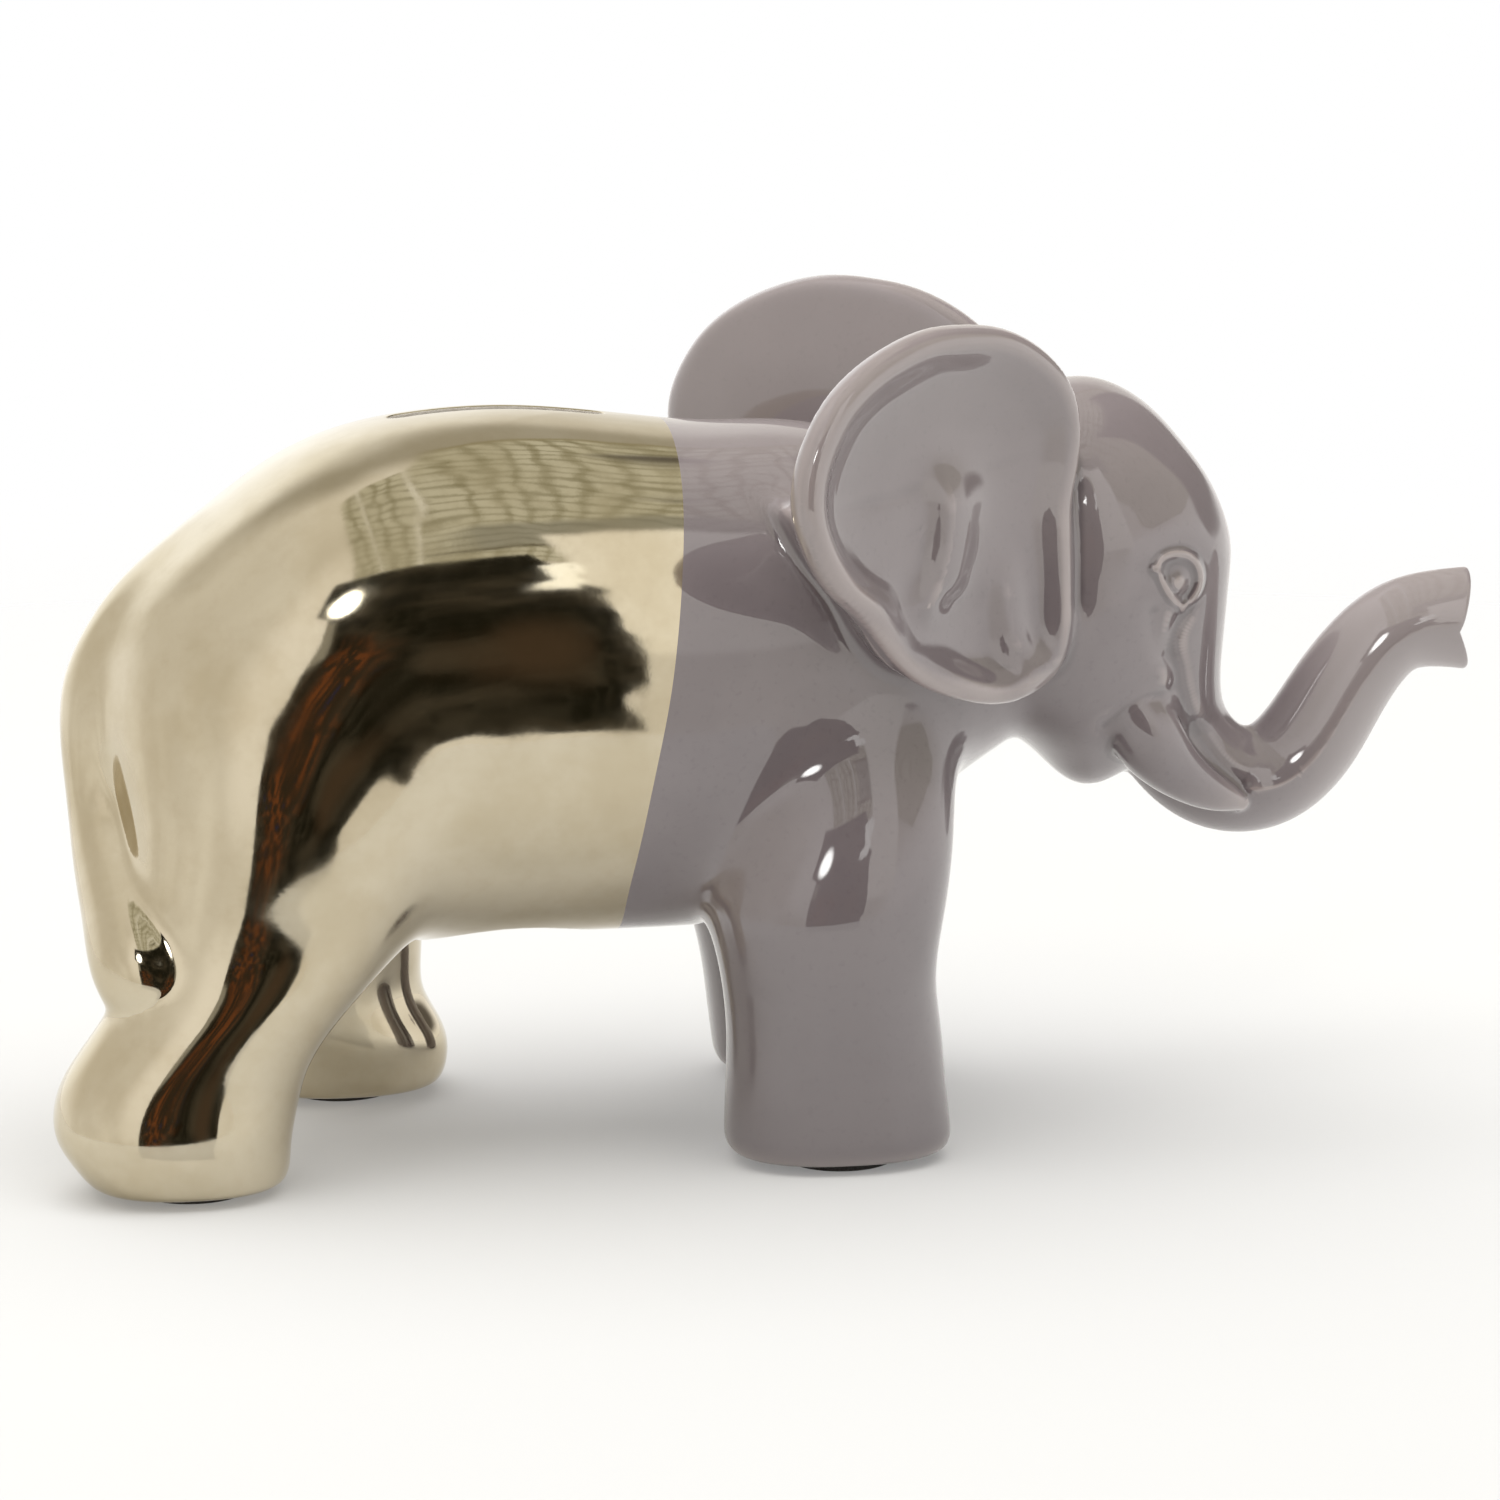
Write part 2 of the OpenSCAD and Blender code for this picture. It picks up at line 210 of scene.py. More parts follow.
LEGS = {
    # height, middle along x, half length, distance from the middle plane, half width
    "hind_right": Curve([
        [-6, -101.5, 15.5, 30, 14.2], [2, -101.9, 16.4, 30, 14.6], [9.3, -103.8, 18.9, 30, 15.2],
        [14, -103.5, 19.6, 29.6, 15.1], [19, -101.9, 19.5, 29.2, 14.7], [25, -98, 19.3, 28.6, 14.4],
        [32, -92.6, 20.2, 27.4, 14.5], [40, -88.4, 22.2, 25.4, 15.2], [50, -85.8, 23.6, 23.2, 17.0],
        [62, -84.8, 23.4, 21.5, 17.6], [75, -85.5, 21.5, 18, 17], [90, -86, 18, 14, 14],
    ]),
    "hind_left": Curve([
        [-6, -70.5, 16.5, 30, 14.2], [2, -70.6, 17.4, 30, 14.6], [8, -71.0, 18.6, 30, 15.1],
        [12, -71.8, 18.3, 29.7, 15], [18, -73.4, 16.9, 29.2, 14.4], [25, -74.3, 17.4, 28.6, 14.3],
        [34, -77, 20, 27.2, 14.8], [44, -80.4, 23.4, 24.8, 15.8], [56, -83.4, 24.2, 22.8, 17.6],
        [75, -85.5, 21.5, 18, 18], [90, -86, 18, 14, 16],
    ]),
    "front": Curve([
        [-6, 5.8, 18.9, 28.6, 14.4], [3, 5.8, 18.9, 28.8, 14.4], [12, 5.4, 18.3, 29.0, 14.4],
        [22, 5.0, 17.8, 29.2, 14.5], [30, 4.2, 17.8, 29.3, 14.6], [38, 3.9, 18.8, 29.6, 14.6],
        [43.5, 4.2, 19.4, 29.6, 14.8], [50, 5.8, 18.9, 28.2, 15.1], [57, 7.8, 17.8, 25.8, 15],
        [63, 9.4, 16.6, 23.2, 14.6], [70, 11, 15, 19.4, 13.6], [78, 12, 13.5, 15, 12], [92, 12, 10, 9, 9],
    ]),
}
FRONT_STRIDE = 9.0  # how far the left front foot stands ahead of the right one
LEG_PLACES = (
    # name, rows, side, how far the foot steps ahead
    ("hind_leg_right", "hind_right", -1, 0.0), ("hind_leg_left", "hind_left", 1, 0.0),
    ("front_leg_right", "front", -1, 0.0), ("front_leg_left", "front", 1, FRONT_STRIDE),
)
HIND_LEG_BOX = (-145, 0, -12), (-28, 62, 108)
FRONT_LEG_BOX = (-32, 0, -12), (50, 62, 108)
SOLE, SOLE_ROUND = 1.2, 5.0

HEAD = Curve([
    # z, middle x, half length, half width
    [52, 55, 9, 11], [58, 55.5, 10, 12.5], [63, 56.5, 14, 15.5], [67.5, 57, 18.4, 18.6],
    [73, 55.4, 21.8, 21.2], [80, 54, 24, 23], [90, 53, 26, 24.2], [97, 53, 26.4, 24.4],
    [104, 52.8, 25.4, 24.2], [110.5, 52.7, 23.7, 23.6], [116, 52.7, 21.8, 22.6], [122, 53, 20, 21.4],
    [128, 53, 18, 20],
])

TRUNK = Limb([
    [59.5, 0, 97, 14.6, 13.5], [63.2, 0, 85, 13.7, 12.8], [66.3, 0, 73.5, 11.2, 11.6],
    [71.6, 0, 62.4, 10, 10.8], [79.3, 0, 56.3, 9.5, 10], [87.1, 0, 56.2, 9.3, 9.3],
    [93.2, 0, 60.6, 9.3, 8.9], [98.7, 0, 68.6, 9.0, 8.4], [103.8, 0, 75.9, 8.5, 7.9],
    [110.4, 0, 81.4, 8.2, 7.5], [117, 0, 82.7, 8.5, 7.2], [128, 0, 82.3, 9.5, 7.0],
])
TRUNK_END, NOTCH_Z, NOTCH_DEPTH = 123.2, 81.2, 3.6
TUSK = Limb([
    [58.5, 14.2, 71.5, 6.0, 6.0], [61.5, 14.2, 67, 6.2, 6.2], [66, 12.8, 61.6, 5.2, 5.4],
    [71, 11.2, 57.6, 4.0, 4.4], [76, 9.4, 54.9, 2.9, 3.4], [80, 7.9, 53.4, 1.7, 2.4],
], 12)
TAIL = Limb([
    [-95, 0, 98, 4, 4], [-103.5, -2, 93, 4.3, 4.3], [-109.8, -4.4, 86, 4.8, 4.8],
    [-113.2, -6.2, 79, 5.2, 5.2], [-114.2, -7.8, 71, 5.3, 5.4], [-113.6, -10.4, 60, 5.3, 5.6],
    [-112.2, -16, 51.5, 6.2, 6.5], [-110.5, -22.4, 45, 7.2, 7.6], [-109.2, -27.0, 40, 8.0, 8.6],
    [-108.0, -29.2, 36, 8.0, 8.8], [-106.9, -30, 33, 6.8, 7.8], [-106.2, -30.4, 31, 5.2, 6.2],
])
TAIL_BLEND = 4.6

# The ear's own plane leans out from the head. In it u runs back from the hinge and z is the height; n points
# out and forwards from it.
EAR_BOX = (-22, 6, 60), (62, 78, 152)
EAR_LEAN = math.radians(35)
EAR_HINGE = (42.0, 25.0)
LEFT_EAR_TALLER = 1.5
EAR_MIDDLE = (28.0, 107.0)
EAR_RIM = Curve([
    # angle in degrees, distance of the rim from the ear's middle
    [-25, 24.4], [-12, 27.4], [0, 30.2], [8, 32], [18, 33.2], [30, 33.3], [42, 33], [54, 32.3], [70, 31.6],
    [88, 31.9], [103, 32.7], [115, 34.2], [126, 35.7], [137, 37.2], [149, 38.3], [163, 36.8], [179, 32.8],
    [195, 32.8], [206, 35.4], [215, 38.7], [222, 40.2], [231, 38.6], [241, 35.7], [255, 30.9], [270, 27.2],
    [286, 24.4], [301, 22.5], [317, 22], [327, 22.9], [335, 24.4], [348, 27.4],
])
EAR_FOLDS = [
    # line that the fold's crest follows (u, z), height, width in front of the crest, width behind it
    ([(23.5, 113), (23.5, 106), (25, 100), (28, 94)], 3.6, 10, 4.6),
    ([(10.2, 97), (9.2, 90), (7.6, 82)], 3.0, 5.5, 4.3),
    ([(-1.6, 106), (-2.2, 97), (-1.4, 87)], 1.1, 3.5, 3.2),
]


NECK = Limb([[6, 0, 84, 30, 28], [22, 0, 87, 29, 27], [36, 0, 91, 26, 25], [48, 0, 93, 24, 22]], 8)

WALL = 4.0
BARE_DEPTH = 0.15  # the finish reaches this far into the slot and the stopper's recess
SLOT_X, SLOT_HALF, SLOT_WIDTH = -46.5, 18.0, 5.0
HOLE_R, RECESS_R, RECESS_Z = 12.5, 16.5, 40.5


def barrel(x, y, z):
    top, bottom, half = BARREL(x)
    middle, h = (top + bottom) / 2, (top - bottom) / 2
    q = (np.abs(y / half) ** 2.25 + np.abs((z - middle) / h) ** 2.25) ** (1 / 2.25)
    e = np.maximum(REAR_START - x, 0) / REAR_CAP
    g = np.maximum(x - CHEST_START, 0) / CHEST_CAP
    return (np.sqrt(q * q + e**2.6 + g**2.6) - 1) * 32


def leg(x, y, z, rows, side, lead):
    low, high = FRONT_LEG_BOX if rows is LEGS["front"] else HIND_LEG_BOX
    return close_by(low, high, lambda a, b, c: leg_near(a, b, c, rows, lead), x, side * y, z)


def leg_near(x, y, z, rows, lead):
    middle, a, spread, b = rows(z)
    middle = middle + lead * np.clip(1 - z / 60, 0, 1.1)
    power = 2.35 - 0.3 * np.clip((z - 12) / 18, 0, 1)
    q = (np.abs((x - middle) / a) ** power + np.abs((y - spread) / b) ** power) ** (1 / power)
    f = (q - 1) * np.minimum(a, b)
    return meet(f, z - 92, 20)


def ear(x, y, z):
    """Both ears. Returns the ears and the filling behind them."""
    w = np.abs(y)
    near = in_box(*EAR_BOX, x, w, z)
    form, fill = np.full(x.shape, FAR), np.full(x.shape, FAR)
    if near.any():
        taller = np.where(y[near] > 0, LEFT_EAR_TALLER, 0)
        form[near], fill[near] = ear_near(x[near], w[near], z[near], taller)
    return form, fill


def ear_near(x, y, z, taller):
    c, s = math.cos(EAR_LEAN), math.sin(EAR_LEAN)
    dx, dy = x - EAR_HINGE[0], y - EAR_HINGE[1]
    u, n = -dx * c + dy * s, dx * s + dy * c
    a, b = u - EAR_MIDDLE[0], z - EAR_MIDDLE[1]
    angle = np.degrees(np.arctan2(b, a))
    rim = EAR_RIM(np.mod(angle + 25, 360) - 25)[0] + taller * bump(angle - 80, 50)
    edge = np.hypot(a, b) - rim
    # Outer face: a dish inside a rounded rim, crossed by three soft folds, each steep on its rear side.
    inside = np.clip(-edge / 22, 0, 1)
    dish = 1.5 * inside - 0.5 * inside**3
    low = bump(np.mod(angle - 285 + 180, 360) - 180, 38)
    forward = bump(angle - 180, 40) + bump(angle + 180, 40)
    front = 1.1 - 4.6 * dish + 2.3 * (1 - 0.7 * low) * (1 - 0.65 * forward) * bump(edge + 3.4, 3.7)
    for line, height, ahead_width, behind_width in EAR_FOLDS:
        crest = Curve([(v, h) for h, v in reversed(line)])
        off = u - crest(z)[0]
        fade = bump(np.maximum(z - line[0][1] + 4, 0), 7) * bump(np.maximum(line[-1][1] + 4 - z, 0), 7)
        front = front + height * fade * bump(off, np.where(off < 0, ahead_width, behind_width))
    back = -2.8 - 5.2 * dish
    form = meet(meet(n - front, back - n, 2.0), edge, 4.6)
    # Filling between the ear and the shoulder, straight inwards, below a sloping line.
    u2 = -dx / c
    a2 = u2 - EAR_MIDDLE[0]
    angle2 = np.degrees(np.arctan2(b, a2))
    rim2 = EAR_RIM(np.mod(angle2 + 25, 360) - 25)[0] + 4.2 * bump(np.mod(angle2 - 300 + 180, 360) - 180, 34)
    edge2 = (np.hypot(a2, b) - rim2) * 0.85
    line = 110.0 + 0.12 * (x - 5)
    fill = meet(meet(edge2 + 2.6, n + 3.0, 3.0), z - line, 5.0)
    return form, fill


# The lines of the face, as x and z on the side of the head.
EYE_UPPER = smooth_line([
    (60.9, 96.3), (62.4, 97.7), (65, 98.2), (67.8, 97.4), (69.7, 95.2), (70, 92.4), (68.8, 90.2),
    (66.9, 88.7),
])
EYE_LOWER = smooth_line([(61.4, 96.0), (62.2, 94.2), (63.4, 92.0), (65.2, 90.1), (66.9, 88.9)])
EYE_FIELD = smooth_line([(63.8, 95.3), (65.8, 93.6), (66.8, 91.4)])
TEAR = smooth_line([
    (67.4, 88.3), (65.6, 85.4), (65.0, 82.4), (66.0, 78.4), (67.3, 74.0), (69.6, 69.0), (73.0, 63.8),
    (76.6, 59.4), (80.0, 56.6),
])
CHEEK = smooth_line([(53.5, 69.6), (57.5, 71.8), (61, 73.2), (65.0, 74.6)])
BROW = [(57, 100), (66, 103), (73, 99)]
EAR_GROOVE = smooth_line([(46.6, 109), (47.2, 100), (46.2, 92)])
SOCKET = smooth_line([(61.0, 88.5), (61.6, 84.5), (63.4, 81.0)])
FACE_LINES = (
    # line, height of its relief, width
    (EYE_UPPER, 0.95, 0.95), (EYE_LOWER, 0.7, 0.8), (EYE_FIELD, -0.75, 2.5), (TEAR, -1.3, 1.9),
    (CHEEK, -0.6, 1.6), (SOCKET, -0.8, 2.2), (BROW, 0.5, 3.5), (EAR_GROOVE, -0.8, 2.4),
)
FACE_BOX = (38, 3, 48), (90, 36, 118)
EYE_X, EYE_Z, EYE_R = 65.7, 93.2, 2.3
EYEBALL_HEIGHT, EYEBALL_WIDTH = 1.35, 2.0


def face_relief(x, y, z):
    """How far the side of the head stands out, for |y|."""
    relief = EYEBALL_HEIGHT * bump(np.hypot(x - EYE_X, z - EYE_Z), EYEBALL_WIDTH)
    for line, height, width in FACE_LINES:
        relief = relief + height * bump(near_line(x, z, line), width)
    return relief * np.clip((y - 4) / 6, 0, 1)


def forms(x, y, z):
    """The shapes that the animal is joined from, by name."""
    w = np.abs(y)
    parts = {"barrel": barrel(x, y, z), "neck": tube(x, y, z, NECK), "tail": tube(x, y, z, TAIL)}
    for name, rows, side, lead in LEG_PLACES:
        parts[name] = meet(leg(x, y, z, LEGS[rows], side, lead), SOLE - z, SOLE_ROUND)
    middle, a, half = HEAD(z)
    crown = np.maximum(z - 95, 0) / 31.0
    jaw = np.maximum(73 - z, 0) / 17.0
    along = np.clip((x - middle) / a, -1.3, 1.3)
    q = (np.abs(along) ** 2.15 + np.abs(y / (half * (0.97 - 0.2 * along))) ** 2.15) ** (1 / 2.15)
    skull = (np.sqrt(q * q + crown**2.4 + jaw**2.4) - 1) * 22
    chin = np.sqrt(((x - 54.8) / 6.2) ** 2 + (y / 8.5) ** 2 + ((z - 63.2) / 5.6) ** 2) * 5.8 - 5.8
    trunk = tube(x, y, z, TRUNK, 1.5)
    notch = np.maximum(0.36 * (z - NOTCH_Z), 0.52 * (NOTCH_Z - z))
    trunk = meet(trunk, x - TRUNK_END, 1.8)
    trunk = meet(trunk, (x - TRUNK_END + NOTCH_DEPTH - notch) * 0.85, 1.2)
    relief = close_by(*FACE_BOX, face_relief, x, w, z, 0.0)
    parts["head"], parts["trunk"] = join(skull, chin, 4.5) - relief, trunk - relief
    parts["tusk"] = tube(x, w, z, TUSK)
    parts["ear"], parts["fill"] = ear(x, y, z)
    return parts


BODY_BLENDS = (
    ("hind_leg_right", 13), ("hind_leg_left", 13), ("front_leg_right", 12), ("front_leg_left", 12),
    ("neck", 16),
)


def animal(x, y, z):
    """The whole outer form."""
    p = forms(x, y, z)
    f = p["barrel"]
    for name, blend in BODY_BLENDS:
        f = join(f, p[name], blend)
    head = join(join(p["head"], p["trunk"], 6.5), p["tusk"], 1.8)
    f = join(f, head, 6)
    f = join(f, p["fill"], 5.5)
    f = join(f, p["ear"], 3.2)
    return join(f, p["tail"], TAIL_BLEND * (1 + np.clip((z - 55) / 25, 0, 1)))


def ownership(points):
    """For the skin's points: which shape each piece answers to. The least value owns the point."""
    x, y, z = points.T
    p = forms(x, y, z)
    socket = np.where(z < 60, np.hypot(x - SLOT_X, y) - RECESS_R - 2.5, FAR)
    casing = np.minimum(p["barrel"], socket)
    casing[p["barrel"] < -WALL + 1.2] = -FAR
    lining = casing + (p["barrel"] + BARE_DEPTH)
    right, left = y < 0, y >= 0
    rear = {"rear_body": casing, "lining": lining, "tail": p["tail"]}
    front = {"front_body": np.minimum(casing, p["neck"]), "lining": lining}
    front.update({"head": p["head"], "trunk": p["trunk"]})
    disc = np.hypot(x - EYE_X, z - EYE_Z) - EYE_R
    for side, here in (("right", right), ("left", left)):
        rear["hind_leg_" + side] = p["hind_leg_" + side]
        front["front_leg_" + side] = p["front_leg_" + side]
        front["ear_" + side] = np.where(here, np.minimum(p["ear"], p["fill"]), FAR)
        front["tusk_" + side] = np.where(here, p["tusk"], FAR)
        front["eye_" + side] = np.where(here, p["head"] + disc, FAR)
    return rear, front


CHUNK = 24000  # points that one worker takes at a time
workers = ThreadPoolExecutor(4)


def field(x, y, z):
    """Signed distance in mm, nearly: negative inside the ceramic."""
    parts = [(x[i : i + CHUNK], y[i : i + CHUNK], z[i : i + CHUNK]) for i in range(0, len(x), CHUNK)]
    return np.concatenate(list(workers.map(lambda p: field_of(*p), parts)))


def field_of(x, y, z):
    f = animal(x, y, z)
    # boss around the stopper's hole, on the inside
    reach = np.hypot(x - SLOT_X, y)
    inner = barrel(x, y, z) + WALL
    boss = meet(reach - (RECESS_R + WALL), z - (RECESS_Z + WALL), 1.5)
    inner = cut(inner, boss, 2.0)
    f = cut(f, inner, 1.0)
    slot = np.hypot(np.maximum(np.abs(x - SLOT_X) - (SLOT_HALF - SLOT_WIDTH / 2), 0), y) - SLOT_WIDTH / 2
    slot = meet(slot, 100 - z, 1.0)
    f = cut(f, slot, 0.6)
    recess = meet(reach - RECESS_R, z - RECESS_Z, 0.5)
    hole = meet(reach - HOLE_R, z - 60, 0.5)
    f = cut(f, recess, 1.2)
    f = cut(f, hole, 0.8)
    return f


# ---------------------------------------------------------------- skin


COARSE = 4  # the search for the surface starts on a grid this many steps wide
BATCH = 400000  # grid points that are worked out in one go
CORNERS = list(itertools.product((0, 1), repeat=3))


def block(grid, start, size):
    return grid[tuple(slice(a, a + n) for a, n in zip(start, size))]


def enlarged(grid):
    for axis in range(3):
        grid = np.repeat(grid, COARSE, axis)
    return grid


def sampled(low, high, step):
    """The form's value on a grid of points: exact near the surface, coarse elsewhere."""
    counts = [math.ceil((high[i] - low[i]) / (step * COARSE)) for i in range(3)]
    axes = [low[i] + step * COARSE * np.arange(counts[i] + 1) for i in range(3)]
    grid = np.meshgrid(*axes, indexing="ij")
    rough = field(*[g.ravel() for g in grid]).reshape(grid[0].shape)
    near = np.abs(rough) < step * COARSE * 1.5 + 1.0
    grown = enlarged(np.any([block(near, corner, counts) for corner in CORNERS], axis=0))
    fine_counts = [c * COARSE + 1 for c in counts]
    values = block(enlarged(rough), (0, 0, 0), fine_counts)
    want = np.zeros(fine_counts, bool)
    for corner in CORNERS:
        block(want, corner, grown.shape)[...] |= grown
    at = np.argwhere(want)
    for start in range(0, len(at), BATCH):
        part = at[start : start + BATCH]
        values[tuple(part.T)] = field(*(np.array(low) + part * step).T)
    values[values == 0] = 1e-6
    return values


def skin(low, high, step):
    """Points and quads of the form's surface: one point in each grid cell that it crosses, moved onto it."""
    values = sampled(low, high, step)
    inside = values < 0
    n = [c - 1 for c in values.shape]
    total = sum(block(inside, corner, n).astype(np.int8) for corner in CORNERS)
    cells = np.argwhere((total > 0) & (total < 8))
    index = np.full(n, -1, np.int64)
    index[tuple(cells.T)] = np.arange(len(cells))
    summed, count = np.zeros((len(cells), 3)), np.zeros(len(cells))
    for axis in range(3):
        others = [a for a in range(3) if a != axis]
        along = np.eye(3, dtype=int)[axis]
        for shift in itertools.product((0, 1), repeat=2):
            a = cells.copy()
            a[:, others] += shift
            fa, fb = values[tuple(a.T)], values[tuple((a + along).T)]
            crossing = (fa < 0) != (fb < 0)
            t = np.where(crossing, fa / np.where(crossing, fa - fb, 1), 0)
            summed += (a + t[:, None] * along) * crossing[:, None]
            count += crossing
    points = np.array(low) + step * summed / count[:, None]
    quads = []
    for axis in range(3):
        others = [a for a in range(3) if a != axis]
        here = [slice(1, -1)] * 3
        here[axis] = slice(0, -1)
        beyond = list(here)
        beyond[axis] = slice(1, None)
        base = np.argwhere(inside[tuple(here)] != inside[tuple(beyond)])
        base[:, others] += 1
        corners = []
        for shift in ((1, 1), (0, 1), (0, 0), (1, 0)):
            cell = base.copy()
            cell[:, others] -= shift
            corners.append(index[tuple(cell.T)])
        q = np.stack(corners, 1)
        turn = inside[tuple(base.T)] == (axis == 1)
        q[turn] = q[turn][:, ::-1]
        quads.append(q)
    quads = np.concatenate(quads)
    points = settle(points, 2)
    edges = np.concatenate([quads[:, [i, (i + 1) % 4]] for i in range(4)])
    degree = np.maximum(np.bincount(edges[:, 0], minlength=len(points)), 1)
    for _ in range(2):
        total = [np.bincount(edges[:, 0], points[edges[:, 1], c], len(points)) for c in range(3)]
        mean = np.stack(total, 1) / degree[:, None]
        points = settle(points + 0.5 * (mean - points), 1)
    return points, quads


def slope(p, h):
    """The form's value, gradient and curvature at points."""
    x, y, z = p.T
    f = field(x, y, z)
    around = [
        (field(x + h, y, z), field(x - h, y, z)),
        (field(x, y + h, z), field(x, y - h, z)),
        (field(x, y, z + h), field(x, y, z - h)),
    ]
    gradient = np.stack([(a - b) / (2 * h) for a, b in around], 1)
    bend = sum(a + b for a, b in around) - 6 * f
    size = np.maximum(np.linalg.norm(gradient, axis=1), 1e-6)
    return f, gradient, bend / (h * h) / size


def settle(p, times):
    """Moves points onto the surface."""
    h = 0.04
    for _ in range(times):
        x, y, z = p.T
        f = field(x, y, z)
        g = np.stack([field(x + h, y, z) - f, field(x, y + h, z) - f, field(x, y, z + h) - f], 1) / h
        size2 = np.maximum((g * g).sum(1), 0.04)
        move = (f / size2)[:, None] * g
        length = np.linalg.norm(move, axis=1, keepdims=True)
        p = p - move * np.minimum(1, STEP / np.maximum(length, 1e-9))
    return p


# ---------------------------------------------------------------- finish line

FINISH = Curve([
    # height, where along x the plating ends
    [26, -27.0], [34, -28.0], [43, -28.8], [54, -27.8], [66, -25.9], [79, -23.4], [90, -21.8], [102, -20.3],
    [112, -19.2], [126, -18.6],
])


def ahead_of_finish(p):
    return p[:, 0] - FINISH(p[:, 2])[0]


def onto_finish(p):
    """Moves points along the surface onto the finish line."""
    for _ in range(4):
        p = p.copy()
        p[:, 0] -= ahead_of_finish(p)
        f, g, _ = slope(p, 0.05)
        g[:, 0] = 0
        p = p - (f / np.maximum((g * g).sum(1), 0.05))[:, None] * g
    return p


def sides_of(face):
    return zip(face, face[1:] + face[:1])


class Edges:
    """New points on the edges of a mesh: one for each edge that asks for it."""

    def __init__(self, points):
        self.points, self.made, self.new = points, {}, []

    def add(self, point):
        self.new.append(point)
        return len(self.points) + len(self.new) - 1

    def split(self, i, j, part):
        """The new point's number. part(i, j) is how far along the edge it lies."""
        key = (min(i, j), max(i, j))
        if key not in self.made:
            a, b = self.points[key[0]], self.points[key[1]]
            self.made[key] = self.add(a + part(*key) * (b - a))
        return self.made[key]

    def all_points(self, finished):
        if not self.new:
            return self.points
        return np.concatenate([self.points, finished(np.array(self.new))])


def divide(points, faces):
    """Cuts the skin along the finish line. Returns all points, the faces behind it and those ahead of it."""
    where = ahead_of_finish(points)
    close = np.abs(where) < 0.33 * STEP
    points[close] = onto_finish(points[close])
    where[close] = 0
    sign_of = np.sign(where).astype(int).tolist()
    behind, ahead, edges = [], [], Edges(points)

    def part(i, j):
        return where[i] / (where[i] - where[j])

    for f in faces:
        signs = [sign_of[i] for i in f]
        if max(signs) <= 0:
            behind.append(f)
        elif min(signs) >= 0:
            ahead.append(f)
        else:
            for side, bag in ((-1, behind), (1, ahead)):
                face = []
                for i, j in sides_of(f):
                    if sign_of[i] * side >= 0:
                        face.append(i)
                    if sign_of[i] * sign_of[j] < 0:
                        face.append(edges.split(i, j, part))
                if len(face) > 2:
                    bag.append(face)
    return edges.all_points(onto_finish), behind, ahead


def cleave(points, faces, pieces):
    """Shares the faces out between pieces, and cuts the faces where the owner changes."""
    names = list(pieces)
    values = np.array([pieces[name] for name in names])
    owner = values.argmin(0).tolist()
    shares = [[] for _ in names]
    edges = Edges(points)

    def part(i, j):
        at_i, at_j = values[owner[i], [i, j]] - values[owner[j], [i, j]]
        return min(max(at_i / (at_i - at_j), 0.03), 0.97)

    for f in faces:
        owners = [owner[i] for i in f]
        if min(owners) == max(owners):
            shares[owners[0]].append(f)
            continue
        ring = []
        for i, j in sides_of(f):
            ring.append((i, owner[i]))
            if owner[i] != owner[j]:
                ring.append((edges.split(i, j, part), -1))
        start = next(k for k, (_, o) in enumerate(ring) if o == -1)
        ring = ring[start:] + ring[: start + 1]
        chain, chains = ring[:1], []
        for v, o in ring[1:]:
            chain.append((v, o))
            if o == -1:
                chains.append(chain)
                chain = [(v, o)]
        for chain in chains:
            shares[chain[1][1]].append([v for v, _ in chain])
        if len(chains) > 2:
            shares[chains[0][1][1]].append([chain[0][0] for chain in chains])
    return edges.all_points(lambda new: settle(new, 1)), dict(zip(names, shares))


def refine(points, faces, wanted):
    """Splits the wanted quads in four. Their neighbours take in the new points on the shared edges."""
    edges = Edges(points)
    fine, rest = [], []
    for f, chosen in zip(faces, wanted):
        if chosen and len(f) == 4:
            m = [edges.split(i, j, lambda *_: 0.5) for i, j in sides_of(f)]
            centre = edges.add(points[f].mean(0))
            fine += [[f[k], m[k], centre, m[k - 1]] for k in range(4)]
        else:
            rest.append(f)
    for k, f in enumerate(rest):
        ring = []
        for i, j in sides_of(f):
            ring.append(i)
            key = (min(i, j), max(i, j))
            if key in edges.made:
                ring.append(edges.made[key])
        rest[k] = ring
    return edges.all_points(lambda new: settle(new, 2)), rest + fine


def is_detailed(p):
    """Where the eyes, cheeks, tusks, trunk end and slot need a finer skin."""
    x, w, z = p[:, 0], np.abs(p[:, 1]), p[:, 2]
    face = (x > 56.5) & (x < 90) & (w > 3) & (z > 50) & (z < 101)
    lips = (np.abs(x - SLOT_X) < SLOT_HALF + 3) & (w < SLOT_WIDTH / 2 + 2) & (z > 112)
    return face | lips | (x > 117)


# ---------------------------------------------------------------- build

MM = 0.001


def make_object(name, verts, faces, materials, picks=None, shade=True):
    """A mesh object in metres from points in mm. picks gives each face's material."""
    mesh = bpy.data.meshes.new(name)
    mesh.from_pydata((np.asarray(verts, float) * MM).tolist(), [], [tuple(map(int, f)) for f in faces])
    for m in materials:
        mesh.materials.append(m)
    if picks is not None:
        mesh.polygons.foreach_set("material_index", np.asarray(picks, np.int32))
    mesh.polygons.foreach_set("use_smooth", np.full(len(mesh.polygons), shade))
    mesh.update()
    obj = bpy.data.objects.new(name, mesh)
    bpy.context.scene.collection.objects.link(obj)
    return obj


